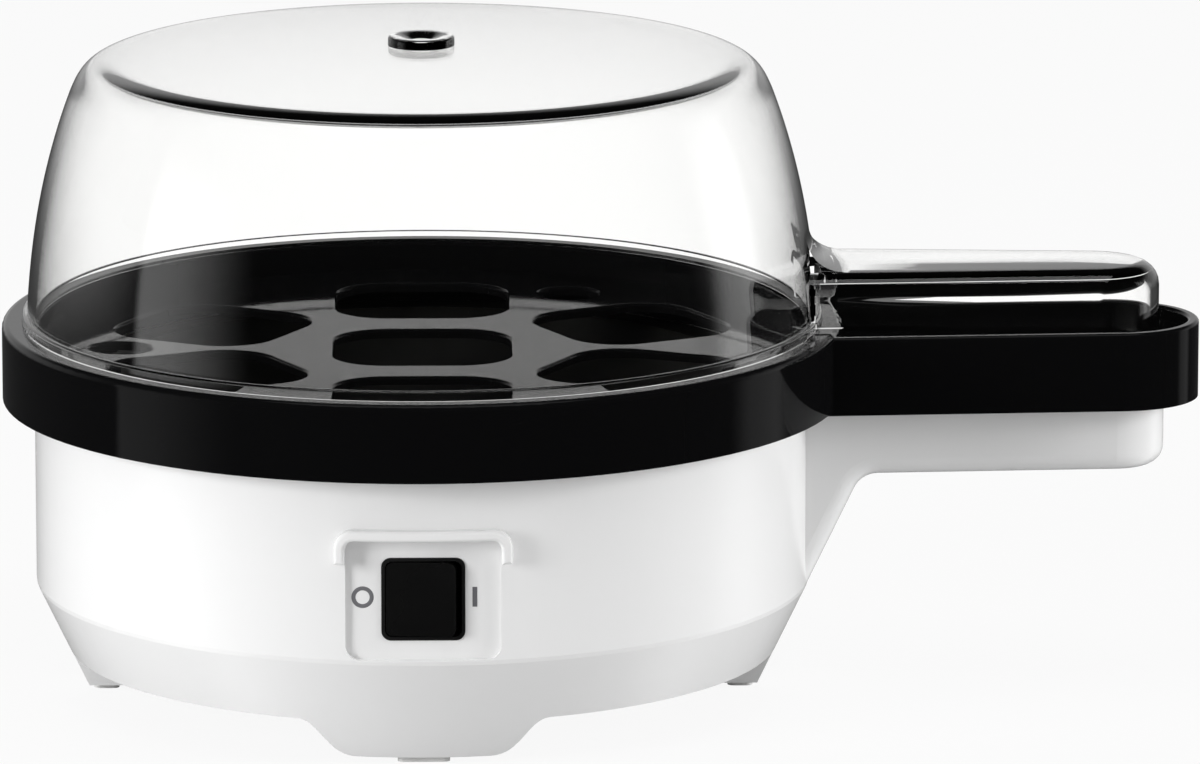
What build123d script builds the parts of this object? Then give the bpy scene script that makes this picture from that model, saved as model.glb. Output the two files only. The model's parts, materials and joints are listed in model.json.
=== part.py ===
from build123d import *
from math import cos, radians, sin, sqrt, tan
import os

# Electric egg cooker for seven eggs: a white base with a heated water bowl and a rocker switch at its front,
# a black egg tray that hangs over the base's rim, and a clear lid. Tray, lid and base each have a handle along
# +X, nested in each other. Millimetres, +Z up. It is modelled about the bowl's vertical axis with the feet on
# z = 0 and the switch towards -Y, and is exported with its origin under the middle of its outer box.

# Clearances
SEAT_GAP = 0.2          # between pieces that lift off each other
PART_GAP = 0.4          # round a piece that is fitted by hand
PIN_GAP = 0.05          # radial, round a turning pin
UNDER_GAP = 0.1         # between the bowl's underside and what is clamped to it
PAST = 1.0              # how far a cut runs on beyond a face

# Places round the axis, in degrees
QUARTERS = (0, 90, 180, 270)
THIRDS = (60, 180, 300)

# The sizes the round forms hang on, from the tray's collar inwards
COLLAR_R = 100.0
COLLAR_T = 3.2
RIM_GAP = 0.6           # radial, between the base's rim and the collar
RIM_STEP = 3.8          # how far the rim stands out from the wall
CONE_STEP = 7.6         # how far the skirt draws in
RIM_R = COLLAR_R - COLLAR_T - RIM_GAP
WALL_R = RIM_R - RIM_STEP
SKIRT_R = WALL_R - CONE_STEP

# Base housing
PAD_HEIGHT = 1.4
SKIRT_Z = 10.8          # lower edge of the skirt between the feet
CONE_Z = 26.7           # where the sloping skirt meets the upright wall
WALL_T = 2.4
CONE_ROUND = 2.5
RIM_Z = 79.5
RIM_T = 3.0
FOOT_HALF = 17.5        # front and back foot, at the pad
FOOT_FLARE = 12.0       # how much wider it gets at each side, up to the skirt
SIDE_FOOT_HALF = 9.0
FOOT_DEPTH = 9.0        # how far a foot's block reaches in from the skirt's surface
PAD_WIDTH = 12.2
PAD_DEPTH = 6.0

# Handles, all along +X, with sides that draw in towards a round end
TAPER = 3.4             # degrees a side
TRAY_REACH = 85.2       # from the collar to the tip of the tray's handle
TRAY_TIP_X = COLLAR_R + TRAY_REACH
TRAY_TIP_R = 20.0
LID_TIP_BACK = 9.6
LID_TIP_X = TRAY_TIP_X - LID_TIP_BACK
LID_TIP_R = 16.0
BRACKET_TIP_BACK = 8.2
BRACKET_TIP_X = TRAY_TIP_X - BRACKET_TIP_BACK
BRACKET_TIP_R = 12.6
BRACKET_BOTTOM = 53.4
BRACKET_ROUND = 4.5
BUTTRESS_ROUND = 6.0
BUTTRESS_IN = 0.15      # how far its surface starts below the cone's
BRACKET_SUNK = 32.4     # how far inside the wall its block starts
BRACKET_ROOT = WALL_R - BRACKET_SUNK

# Egg tray
COLLAR_BOTTOM = 71.0
COLLAR_TOP = 89.3
COLLAR_ROUND = 1.5
LIP_T = 2.2             # the collar's turned-in top and its inner wall
SEAT_IN = 4.7           # from the collar's outside to the edge of the lid's seat
SEAT_DEPTH = 0.6
SEAT_ROUND = 0.7
LEDGE_W = 8.2           # from the collar's outside to its inner wall's face
PLATE_T = 2.2
TROUGH_BOTTOM = 69.9
TROUGH_TOP = 88.6
TROUGH_WALL = 2.8
TROUGH_FLOOR = 81.0
TROUGH_FLOOR_T = 2.4
TROUGH_ROUND = 0.9
RIB_T = 2.0
RIB_HEIGHT = 4.7
HOLE_W = 41.5
HOLE_L = 41.0
HOLE_CORNER = 12.5
MID_HOLE_W = 42.2
MID_HOLE_L = 40.6
HOLE_FRONT_IN = 66.4     # from the collar to the near edge of the front and back egg holes
HOLE_SIDE_IN = 63.6      # and of the four at the sides
HOLE_INNER_FRONT = COLLAR_R - HOLE_FRONT_IN
HOLE_INNER_SIDE = COLLAR_R - HOLE_SIDE_IN
SIDE_HOLE_ANGLE = 27.5   # degrees off the X axis
HOLE_EDGE_ROUND = 0.8
STEAM_R = 7.5
STEAM_IN = 28.0
STEAM_CENTRE_R = COLLAR_R - STEAM_IN

# Lid
LID_T = 2.0
LID_DRAFT = 1.2
LID_TURN = 7.7          # how far the shoulder keeps each of its two directions
LID_BAND_T = 1.0        # how far the foot's band stands out from the dome
LID_BAND_H = 2.7
LID_BAND_ROUND = 0.6
LID_LEAN = 10.4         # how far the dome's side leans in up to its shoulder
LID_SHOULDER_IN = 12.7  # from there to the edge of the flat top
LID_BAND_R = COLLAR_R - SEAT_IN - SEAT_GAP
LID_FOOT_R = LID_BAND_R - LID_BAND_T
LID_SHOULDER_R = LID_FOOT_R - LID_LEAN
LID_SHOULDER_Z = 143.1
LID_TOP_R = LID_SHOULDER_R - LID_SHOULDER_IN
LID_EDGE_Z = 152.3
LID_TOP_Z = 155.1
LID_HANDLE_TOP = 102.5
LID_HANDLE_FOOT = 83.2
LID_HANDLE_ROUND = 5.2
LID_HOLLOW_ROUND = 0.4
LID_BLEND_OUT = 8.1     # the curve from the handle's top into the dome: how far out it starts
LID_BLEND_TURN = 0.8
LID_BLEND_IN = 2.3
LID_BLEND_RISE = 9.0
COLLAR_CLEAR = 1.2      # of the lid's handle, where it straddles the collar
COLLAR_CLEAR_TOP = 0.8
VENT_OUTER_R = 7.9
VENT_R = 4.75
VENT_HEIGHT = 3.2

# Bowl and heater
DECK_Z = 72.9
DECK_T = 2.4
SEAL_T = 1.5
SEAL_WIDTH = 4.5
BOWL_T = 0.8
FLANGE_IN = 5.9         # from the wall's outside to the bowl's edge
FLANGE_W = 7.9
BOWL_SLOPE_W = 11.6
DECK_EDGE = 1.6
BOWL_FLANGE_R = WALL_R - FLANGE_IN
BOWL_MOUTH_R = BOWL_FLANGE_R - FLANGE_W
BOWL_FLOOR_R = BOWL_MOUTH_R - BOWL_SLOPE_W
DECK_R = BOWL_MOUTH_R + DECK_EDGE
BOWL_FLOOR_Z = 58.0
ELEMENT_IN = 23.0
ELEMENT_R = BOWL_FLOOR_R - ELEMENT_IN
TUBE_R = 3.2
ELEMENT_GAP_ANGLE = 30.0
PIN_DROP = 9.9
ELEMENT_PIN_R = 1.3
CLIP_T = 0.8
CLIP_W = 8.0
CLIP_EAR = 4.0          # flat ends welded to the bowl
CLIP_ANGLES = (15, 90, 165)
STUD_R = 2.0
STUD_IN = 7.0
STUD_CENTRE_R = BOWL_FLOOR_R - STUD_IN
SHOULDER_R = 3.4
STUD_END = 1.0          # what shows of a stud past its nut
ARM_TOP = 46.5
ARM_T = 3.0
ARM_W = 12.0
ARM_END = 5.0           # past the stud's middle
NUT_H = 3.0
NUT_ACROSS = 7.0
SMALL_NUT_H = 2.4
SMALL_NUT_ACROSS = 5.5
STAT_R = 9.5
STAT_H = 8.0
BLADE_T = 0.8
BLADE_W = 6.3
BLADE_L = 7.2
BLADE_Y = 5.0           # the thermostat's two blades, off its middle
STRAP_T = 1.0           # the strap that holds the thermostat
STRAP_W = 8.0
BRACKET_STUD_X = 17.0
BRACKET_STUD_R = 1.5
FUSE_R = 2.0
FUSE_L = 10.0
FUSE_Y = 20.0
FUSE_LEAD_R = 0.5
FUSE_LEAD_L = 4.0
FUSE_CLIP_T = 0.6
FUSE_CLIP_W = 4.0

# Switch
PANEL_W = 36.0
PANEL_BOTTOM = 27.3
PANEL_TOP = 57.0
PANEL_CORNER = 3.4
PANEL_DEPTH = 2.8       # below the wall's surface at the middle
SWITCH_W = 19.4
SWITCH_H = 19.6
SWITCH_CORNER = 2.2
SWITCH_Z = 41.5
FRAME_T = 0.8
FRAME_PROUD = 0.3
BODY_W = 22.0
BODY_H = 24.0
BODY_DEPTH = 21.2
CAVITY_DEPTH = 16.7
PIVOT_DEPTH = 2.2       # behind the panel's back
ROCKER_SIDE_GAP = 0.8
ROCKER_END_GAP = 0.25
ROCKER_TILT = 6.0       # degrees each way from the middle
ROCKER_PROUD = 0.9
ROCKER_DISH = 0.6
ROCKER_BACK = 2.5
PIN_R = 1.0
STEM_W = 4.4
STEM_L = 7.0
PLUNGER_R = 1.3
PLUNGER_REACH = 8.4
SPRING_START = 1.8
SPRING_L = 2.6
LEVER_Y = 10.6          # from the rocker's pin to the contact lever's pin
LEVER_HALF = 6.2
LEVER_T = 0.8
LEVER_H = 6.0
LEVER_HUB_R = 1.7
LEVER_PIN_R = 0.8
TAB_PITCH = 6.0
TAB_IN = 5.5            # how far a tab reaches into the case
TAB_OUT = 8.0
HOOD_W = 41.2
HOOD_TOP = 58.5
HOOD_BOTTOM = 50.3
HOOD_T = 2.5
HOOD_PROUD = 2.8
HOOD_CORNER = 4.6
HOOD_ROUND = 0.9

# Underside and wiring
COVER_Z = 11.8
COVER_T = 2.4
COVER_IN = 2.9
COVER_R = SKIRT_R - COVER_IN
POST_R = 4.2
POST_IN = 9.9
POST_CENTRE_R = COVER_R - POST_IN
POST_TOP = 40.0
POST_RIB_T = 2.0
POST_RIB_Z = 20.2
POST_ANGLES = (45, 135, 225, 315)
SCREW_R = 1.5
SCREW_HEAD_R = 3.0
SCREW_HEAD_H = 1.8
SCREW_L = 16.0
SLOT_W = 3.0
SLOT_L = 22.0
SLOT_PITCH = 8.0
SLOT_COUNT = 6
SLOT_MIDDLE_Y = -14.0
GLAND_Z = 36.0
GLAND_BORE_R = 3.6
GLAND_NECK_R = 5.0
GLAND_FLANGE_R = 7.5
GLAND_FLANGE_T = 2.0
BOSS_R = 9.0
BOSS_OUT = 0.4
BOSS_IN = 2.0
CLAMP_IN = 20.4
CLAMP_Y = WALL_R - CLAMP_IN
CLAMP_DEPTH = 6.0
CLAMP_HALF = 13.0
CLAMP_T = 2.4
CORD_HALF = 4.5
CLAMP_SCREW_X = 9.0
CLAMP_SCREW_GRIP = 10.0 # how far the clamp's screws bite into the cover's seat
BLOCK_HALF = 12.0
BLOCK_IN = 26.0
BLOCK_Y = CLAMP_Y - BLOCK_IN
BLOCK_DEPTH = 12.0
BLOCK_H = 11.0
TERMINAL_PITCH = 7.0
TERMINAL_R = 2.2
WIRE_R = 1.1
TERMINAL_DEPTH = 4.0
TERMINAL_SINK = 0.8
SCREW_SLOT = 0.8        # slot in a screw's head, both wide and deep
EARTH_X = 30.0
EARTH_HALF = 4.0
EARTH_W = 6.0
EARTH_L = 9.0

# Worked out from the sizes above
SLOPE = (WALL_R - SKIRT_R) / (CONE_Z - SKIRT_Z)
SKIN = WALL_T * sqrt(1 + SLOPE ** 2)      # the sloping wall's thickness, measured level
PLATE_BOTTOM = RIM_Z + SEAT_GAP
PLATE_TOP = PLATE_BOTTOM + PLATE_T
SEAT_Z = COLLAR_TOP - SEAT_DEPTH
LID_FOOT_Z = SEAT_Z + SEAT_GAP
BRACKET_TOP = TROUGH_BOTTOM - SEAT_GAP
WALL_IN = WALL_R - WALL_T
SEAL_TOP = DECK_Z + SEAL_T
BOWL_UNDER = BOWL_FLOOR_Z - BOWL_T
COVER_TOP = COVER_Z + COVER_T
PANEL_Y = -(WALL_R - PANEL_DEPTH)
PANEL_BACK = PANEL_Y + WALL_T
PIVOT_Y = PANEL_BACK + PIVOT_DEPTH
BODY_BACK = PANEL_BACK + BODY_DEPTH
CORD_Z = GLAND_Z - GLAND_BORE_R
ELEMENT_Z = BOWL_UNDER - UNDER_GAP - TUBE_R
STAT_LOW = BOWL_UNDER - STAT_H
LEVER_PIN_Y = PIVOT_Y + LEVER_Y
SWITCH_PIN_HALF = BODY_H / 2 - 1
ORIGIN_X = (TRAY_TIP_X - COLLAR_R) / 2


def cone_r(z):
    """Outer radius of the skirt's cone, also where it runs on above the wall's foot."""
    return WALL_R - SLOPE * (CONE_Z - z)


def disc(r, z0, z1, x=0, y=0):
    return Pos(x, y, z0) * Cylinder(r, z1 - z0, align=(Align.CENTER, Align.CENTER, Align.MIN))


def ring(r_in, r_out, z0, z1):
    return disc(r_out, z0, z1) - disc(r_in, z0 - 1, z1 + 1)


def block(x0, x1, y0, y1, z0, z1):
    return Pos((x0 + x1) / 2, (y0 + y1) / 2, (z0 + z1) / 2) * Box(x1 - x0, y1 - y0, z1 - z0)


def turned(*points):
    """Solid of revolution about Z from (radius, height) corners."""
    return revolve(make_face(Plane.XZ * Polyline(*points, close=True)), Axis.Z)


def along_y(shape, y0, y1):
    """A flat outline in x and z, extruded from y0 to y1."""
    return extrude(Plane.XZ.offset(-y0) * shape, y1 - y0, dir=(0, 1, 0))


def upright(shape, z0, z1):
    """A flat outline in x and y, extruded from z0 to z1."""
    return extrude(Pos(0, 0, z0) * shape, z1 - z0, dir=(0, 0, 1))


def rounded(width, height, corner):
    return RectangleRounded(width, height, corner)


def hexagon(across, z0, z1, x, y):
    return upright(Pos(x, y) * RegularPolygon(across / 2, 6, major_radius=False), z0, z1)


def polar(radius, angle):
    return radius * cos(radians(angle)), radius * sin(radians(angle))


def handle(tip_x, tip_r, root_x, z0, z1, inset=0.0):
    """Upright slab with drawn-in sides and a round end, from root_x to tip_x."""
    r = tip_r - inset
    middle = tip_x - tip_r
    a = radians(TAPER)
    touch_x, touch_y = middle + r * sin(a), r * cos(a)
    root_y = touch_y + (touch_x - root_x) * tan(a)
    edge = Polyline((touch_x, touch_y), (root_x, root_y), (root_x, -root_y), (touch_x, -touch_y))
    end = ThreePointArc((touch_x, -touch_y), (middle + r, 0), (touch_x, touch_y))
    return upright(make_face(edge + end), z0, z1)


def tube(points, r):
    """Wire along straight runs joined by arcs, each as large as its two runs allow."""
    radii = []
    for before, corner, after in zip(points, points[1:], points[2:]):
        run_in = Vector(*corner) - Vector(*before)
        run_out = Vector(*after) - Vector(*corner)
        turn = radians(run_in.get_angle(run_out))
        radii.append(0.45 * min(run_in.length, run_out.length) / tan(turn / 2))
    path = FilletPolyline(*points, radius=radii)
    section = Plane(origin=path @ 0, z_dir=path % 0) * Circle(r)
    print("wire", "length", round(path.length, 1), "least radius", round(min(radii), 1))
    return sweep(section, path=path)


def base_outer():
    """The base's outside as one filled solid: cone, wall and rim."""
    body = turned((0, PAD_HEIGHT), (cone_r(PAD_HEIGHT), PAD_HEIGHT), (WALL_R, CONE_Z), (WALL_R, RIM_Z),
                  (0, RIM_Z))
    corner = [e for e in body.edges() if abs(e.center().Z - CONE_Z) < 0.01 and e.geom_type == GeomType.CIRCLE]
    return fillet(corner, CONE_ROUND)


def bracket():
    """The base's handle with the buttress under it, where the cone's surface is carried on upwards."""
    low = CONE_Z - 2 * PAST
    start = (cone_r(low) - BUTTRESS_IN, low)
    corner = (cone_r(BRACKET_BOTTOM) - BUTTRESS_IN, BRACKET_BOTTOM)
    far = BRACKET_TIP_X + WALL_T
    outline = make_face(Polyline((BRACKET_ROOT, low), start, corner, (far, BRACKET_BOTTOM), (far, BRACKET_TOP),
                                 (BRACKET_ROOT, BRACKET_TOP), close=True))
    inner_corner = outline.vertices().sort_by_distance(Vector(*corner, 0))[0]
    solid = revolve(Plane.XZ * fillet(inner_corner, BUTTRESS_ROUND), Axis.Z)
    solid &= handle(BRACKET_TIP_X, BRACKET_TIP_R, BRACKET_ROOT + PAST, low - PAST, BRACKET_TOP + PAST)
    under = []
    for edge in solid.edges():
        middle, size = edge.center(), edge.bounding_box().size
        crosswise = size.X < 3 and size.Y > BRACKET_TIP_R
        if low + 0.1 < middle.Z < BRACKET_TOP - 6 and middle.X > WALL_IN - 8 and size.Z < 30 and not crosswise:
            under.append(edge)
    return fillet(under, BRACKET_ROUND)


def buttress_hollow():
    low = CONE_Z + (SKIN - WALL_T) / SLOPE
    top = BRACKET_BOTTOM - WALL_T
    root = WALL_IN - 2 * PAST
    solid = turned((root, low), (cone_r(low) - SKIN, low), (cone_r(top) - SKIN, top), (root, top))
    return solid & handle(BRACKET_TIP_X, BRACKET_TIP_R, BRACKET_ROOT, low - PAST, top + PAST, WALL_T)


def foot_keep():
    """What stays of the skirt below its edge: the four feet."""
    half = FOOT_HALF + FOOT_FLARE
    z0, z1 = PAD_HEIGHT, SKIRT_Z
    swing = FOOT_FLARE * 0.45
    right = Bezier((FOOT_HALF - 2, z0), (FOOT_HALF + swing, z0), (half - swing, z1), (half, z1))
    left = Bezier((-half, z1), (-half + swing, z1), (-FOOT_HALF - swing, z0), (-FOOT_HALF + 2, z0))
    top = Polyline((half, z1), (half, z1 + 1), (-half, z1 + 1), (-half, z1))
    sole = Line((-FOOT_HALF + 2, z0), (FOOT_HALF - 2, z0))
    wide = along_y(make_face(right + top + left + sole), -COLLAR_R, COLLAR_R)
    return wide + block(-COLLAR_R, COLLAR_R, -SIDE_FOOT_HALF, SIDE_FOOT_HALF, z0, z1 + 1)


def foot_blocks(grow=0.0):
    """The solid part of each foot, which carries its pad."""
    inner = cone_r(PAD_HEIGHT) - FOOT_DEPTH - grow
    half = SIDE_FOOT_HALF + grow
    blocks = []
    for angle in QUARTERS:
        blocks.append(Rot(0, 0, angle) * block(inner, COLLAR_R, -half, half, PAD_HEIGHT, COVER_TOP + grow))
    return blocks


def panel_outline():
    middle = (PANEL_TOP + PANEL_BOTTOM) / 2
    return Pos(0, middle) * rounded(PANEL_W, PANEL_TOP - PANEL_BOTTOM, PANEL_CORNER)


def switch_outline(shrink=0.0):
    return Pos(0, SWITCH_Z) * rounded(SWITCH_W - 2 * shrink, SWITCH_H - 2 * shrink, SWITCH_CORNER - shrink / 2)


def hood():
    """Raised bar round the top of the switch panel."""
    outer_h = HOOD_TOP - HOOD_BOTTOM + HOOD_CORNER
    middle = HOOD_TOP - outer_h / 2
    outer = Pos(0, middle) * rounded(HOOD_W, outer_h, HOOD_CORNER)
    inner = Pos(0, middle - HOOD_T) * rounded(HOOD_W - 2 * HOOD_T, outer_h, HOOD_CORNER - HOOD_T + 0.4)
    below = Pos(0, HOOD_BOTTOM - 10) * Rectangle(HOOD_W + 2, 20)
    bar = along_y(outer - inner - below, -COLLAR_R, -WALL_IN + 4)
    bar &= ring(WALL_IN + WALL_T / 4, WALL_R + HOOD_PROUD, HOOD_BOTTOM - PAST, HOOD_TOP + PAST)
    face = bar.faces().sort_by(Axis.Y)[0]
    return fillet(face.edges(), HOOD_ROUND)


def base_housing():
    outside = base_outer()
    shell = outside + ring(WALL_IN, RIM_R, RIM_Z - RIM_T, RIM_Z) + bracket()
    inner_low = PAD_HEIGHT - PAST
    meet_z = CONE_Z + (SKIN - WALL_T) / SLOPE
    shell -= turned((0, inner_low), (cone_r(inner_low) - SKIN, inner_low), (WALL_IN, meet_z),
                    (WALL_IN, RIM_Z + PAST), (0, RIM_Z + PAST))
    channel = handle(BRACKET_TIP_X, BRACKET_TIP_R, BRACKET_ROOT, BRACKET_BOTTOM + WALL_T, BRACKET_TOP + PAST, WALL_T)
    shell -= channel - disc(WALL_R, 0, BRACKET_TOP + 2 * PAST)
    shell -= buttress_hollow()
    for foot in foot_blocks():
        shell += foot & outside
    shell -= disc(COLLAR_R, 0, SKIRT_Z) - foot_keep()
    shell += ring(DECK_R, WALL_IN + 0.5, DECK_Z - DECK_T, DECK_Z)
    for angle in POST_ANGLES:
        post = Rot(0, 0, angle) * disc(POST_R, COVER_TOP, POST_TOP, POST_CENTRE_R)
        half = POST_RIB_T / 2
        rib = Rot(0, 0, angle) * block(POST_CENTRE_R, WALL_R, -half, half, POST_RIB_Z, POST_TOP)
        shell += (post + rib) & outside
        shell -= Rot(0, 0, angle) * disc(SCREW_R, COVER_TOP - PAST, COVER_TOP + SCREW_L, POST_CENTRE_R)
    for angle in THIRDS:
        arm = block(STUD_CENTRE_R - ARM_END, WALL_IN + WALL_T / 2, -ARM_W / 2, ARM_W / 2, ARM_TOP - ARM_T,
                    ARM_TOP)
        arm -= disc(STUD_R + SEAT_GAP, ARM_TOP - ARM_T - PAST, ARM_TOP + PAST, STUD_CENTRE_R)
        shell += Rot(0, 0, angle) * arm
    backing_outline = Rectangle(PANEL_W + 2 * WALL_T, PANEL_TOP - PANEL_BOTTOM + WALL_T)
    backing = along_y(Pos(0, (PANEL_TOP + PANEL_BOTTOM) / 2) * backing_outline, -WALL_R, PANEL_BACK)
    shell += backing & outside
    shell += hood()
    shell -= along_y(panel_outline(), -COLLAR_R, PANEL_Y) - along_y(hood_shadow(), -COLLAR_R, 0)
    shell -= along_y(switch_outline(), PANEL_Y - PAST, PANEL_BACK + PAST)
    shell += along_y(Pos(0, GLAND_Z) * Circle(BOSS_R), WALL_IN - BOSS_IN, WALL_R + BOSS_OUT)
    shell -= along_y(Pos(0, GLAND_Z) * Circle(GLAND_NECK_R), WALL_IN - 10, COLLAR_R)
    return shell


def hood_shadow():
    """Where the hood's bar lies over the panel's upper edge."""
    return Pos(0, HOOD_TOP - HOOD_T + 5) * Rectangle(HOOD_W, 10)


def foot_pads():
    middle = cone_r(PAD_HEIGHT) - FOOT_DEPTH / 2
    pads = []
    for angle in QUARTERS:
        pad = upright(Pos(middle, 0) * rounded(PAD_DEPTH, PAD_WIDTH, 1.5), 0, PAD_HEIGHT)
        pads.append(Rot(0, 0, angle) * pad)
    return pads


def bottom_cover():
    cover = disc(COVER_R, COVER_Z, COVER_TOP)
    for foot in foot_blocks(PART_GAP):
        cover -= foot
    for k in range(SLOT_COUNT):
        y = SLOT_MIDDLE_Y + (k - (SLOT_COUNT - 1) / 2) * SLOT_PITCH
        cover -= upright(Pos(0, y) * SlotOverall(SLOT_L, SLOT_W), COVER_Z - PAST, COVER_TOP + PAST)
    for angle in POST_ANGLES:
        cover -= Rot(0, 0, angle) * disc(SCREW_R + SEAT_GAP, COVER_Z - PAST, COVER_TOP + PAST, POST_CENTRE_R)
    half = CLAMP_DEPTH / 2
    cover += block(-CLAMP_HALF, CLAMP_HALF, CLAMP_Y - half, CLAMP_Y + half, COVER_TOP, CORD_Z)
    for x in (-CLAMP_SCREW_X, CLAMP_SCREW_X):
        cover -= disc(SCREW_R, CORD_Z - CLAMP_SCREW_GRIP, CORD_Z + PAST, x, CLAMP_Y)
    return cover


def screw(x, y, head_z, length, up):
    """A screw whose head's flat face is at head_z; up is 1 when its shank points up."""
    low, high = sorted((head_z, head_z + up * length))
    head_low, head_high = sorted((head_z, head_z - up * SCREW_HEAD_H))
    return disc(SCREW_R, low, high, x, y) + disc(SCREW_HEAD_R, head_low, head_high, x, y)


def bottom_cover_screws():
    return [screw(*polar(POST_CENTRE_R, a), COVER_Z, SCREW_L, 1) for a in POST_ANGLES]


def heating_bowl():
    run = BOWL_MOUTH_R - BOWL_FLOOR_R
    rise = SEAL_TOP + BOWL_T - BOWL_FLOOR_Z
    side = BOWL_T * sqrt(1 + (rise / run) ** 2) / (rise / run)
    return turned((0, BOWL_UNDER), (BOWL_FLOOR_R + BOWL_T / 2, BOWL_UNDER),
                  (BOWL_MOUTH_R + side - 0.3, SEAL_TOP), (BOWL_FLANGE_R, SEAL_TOP),
                  (BOWL_FLANGE_R, SEAL_TOP + BOWL_T), (BOWL_MOUTH_R, SEAL_TOP + BOWL_T),
                  (BOWL_FLOOR_R, BOWL_FLOOR_Z), (0, BOWL_FLOOR_Z))


def bowl_seal():
    return ring(BOWL_FLANGE_R - SEAL_WIDTH, BOWL_FLANGE_R, DECK_Z, SEAL_TOP)


def heating_element():
    """Tubular heater under the bowl: most of a ring, with its two pins down beside the switch."""
    z = ELEMENT_Z
    start = 270 + ELEMENT_GAP_ANGLE / 2
    section = Plane.XZ * (Pos(ELEMENT_R, z) * Circle(TUBE_R))
    body = Rot(0, 0, start) * revolve(section, Axis.Z, 360 - ELEMENT_GAP_ANGLE)
    for angle in (start, 270 - ELEMENT_GAP_ANGLE / 2):
        x, y = polar(ELEMENT_R, angle)
        body += Pos(x, y, z) * Sphere(TUBE_R)
        body += disc(TUBE_R, z - PIN_DROP / 2, z, x, y) + disc(ELEMENT_PIN_R, z - PIN_DROP, z, x, y)
    return body


def element_clips():
    z = BOWL_UNDER
    half = CLIP_W / 2
    low = ELEMENT_Z - TUBE_R - SEAT_GAP
    inner, outer = ELEMENT_R - TUBE_R - PART_GAP, ELEMENT_R + TUBE_R + PART_GAP
    strip = block(inner - CLIP_T - CLIP_EAR, outer + CLIP_T + CLIP_EAR, -half, half, z - CLIP_T, z)
    strip += block(inner - CLIP_T, outer + CLIP_T, -half, half, low - CLIP_T, z)
    strip -= block(inner, outer, -CLIP_W, CLIP_W, low, z + PAST)
    return [Rot(0, 0, angle) * strip for angle in CLIP_ANGLES]


def bowl_studs():
    studs = []
    for angle in THIRDS:
        x, y = polar(STUD_CENTRE_R, angle)
        thread = disc(STUD_R, ARM_TOP - ARM_T - NUT_H - STUD_END, ARM_TOP, x, y)
        studs.append(disc(SHOULDER_R, ARM_TOP, BOWL_UNDER, x, y) + thread)
    low = STAT_LOW - STRAP_T - SMALL_NUT_H - STUD_END
    for x in (-BRACKET_STUD_X, BRACKET_STUD_X):
        studs.append(disc(BRACKET_STUD_R, low, BOWL_UNDER, x, 0))
    return studs


def stud_nuts():
    nuts = []
    top = ARM_TOP - ARM_T
    for angle in THIRDS:
        x, y = polar(STUD_CENTRE_R, angle)
        nut = hexagon(NUT_ACROSS, top - NUT_H, top, x, y)
        nuts.append(nut - disc(STUD_R, top - NUT_H - PAST, top + PAST, x, y))
    top = STAT_LOW - STRAP_T
    for x in (-BRACKET_STUD_X, BRACKET_STUD_X):
        nut = hexagon(SMALL_NUT_ACROSS, top - SMALL_NUT_H, top, x, 0)
        nuts.append(nut - disc(BRACKET_STUD_R, top - SMALL_NUT_H - PAST, top + PAST, x, 0))
    return nuts


def thermostat():
    body = disc(STAT_R, STAT_LOW, BOWL_UNDER)
    for y in (-BLADE_Y, BLADE_Y):
        body += block(-BLADE_W / 2, BLADE_W / 2, y - BLADE_T / 2, y + BLADE_T / 2, STAT_LOW - BLADE_L,
                      STAT_LOW)
    return body


def thermostat_bracket():
    half = BRACKET_STUD_X + STRAP_W / 2
    strip = block(-half, half, -STRAP_W / 2, STRAP_W / 2, STAT_LOW - STRAP_T, STAT_LOW)
    for x in (-BRACKET_STUD_X, BRACKET_STUD_X):
        strip -= disc(BRACKET_STUD_R, STAT_LOW - STRAP_T - PAST, STAT_LOW + PAST, x, 0)
    return strip


def thermal_fuse():
    place = Pos(0, FUSE_Y, BOWL_UNDER - UNDER_GAP - FUSE_R) * Rot(0, 90, 0)
    return place * Cylinder(FUSE_R, FUSE_L) + place * Cylinder(FUSE_LEAD_R, FUSE_L + 2 * FUSE_LEAD_L)


def fuse_clip():
    half = FUSE_CLIP_W / 2
    gap = FUSE_R + UNDER_GAP
    outer = gap + FUSE_CLIP_T
    low = BOWL_UNDER - UNDER_GAP - 2 * FUSE_R - SEAT_GAP
    strip = block(-half, half, FUSE_Y - outer - CLIP_EAR, FUSE_Y + outer + CLIP_EAR, BOWL_UNDER - FUSE_CLIP_T,
                  BOWL_UNDER)
    strip += block(-half, half, FUSE_Y - outer, FUSE_Y + outer, low - FUSE_CLIP_T, BOWL_UNDER)
    return strip - block(-FUSE_CLIP_W, FUSE_CLIP_W, FUSE_Y - gap, FUSE_Y + gap, low, BOWL_UNDER + PAST)


def earth_tab():
    left, right = EARTH_X - EARTH_HALF, EARTH_X + EARTH_HALF
    foot = block(left, right, -EARTH_W / 2, EARTH_W / 2, BOWL_UNDER - BLADE_T, BOWL_UNDER)
    return foot + block(left, left + BLADE_T, -EARTH_W / 2, EARTH_W / 2, BOWL_UNDER - EARTH_L, BOWL_UNDER)


def switch_tabs():
    return [block(x - BLADE_T / 2, x + BLADE_T / 2, BODY_BACK - TAB_IN, BODY_BACK + TAB_OUT,
                  SWITCH_Z - BLADE_W / 2, SWITCH_Z + BLADE_W / 2) for x in (-TAB_PITCH, 0, TAB_PITCH)]


def switch_body():
    """Black frame in the panel's opening, with the switch's case behind it."""
    body = along_y(switch_outline(0.05), PANEL_Y - FRAME_PROUD, PANEL_BACK)
    body += along_y(Pos(0, SWITCH_Z) * rounded(BODY_W, BODY_H, 1.5), PANEL_BACK, BODY_BACK)
    body -= along_y(switch_outline(FRAME_T), PANEL_Y - PAST, PANEL_BACK + CAVITY_DEPTH)
    body -= rocker_pin()
    body -= contact_pin()
    for tab in switch_tabs():
        body -= tab
    return body


def rocker_pin():
    return disc(PIN_R, SWITCH_Z - SWITCH_PIN_HALF, SWITCH_Z + SWITCH_PIN_HALF, 0, PIVOT_Y)


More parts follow.
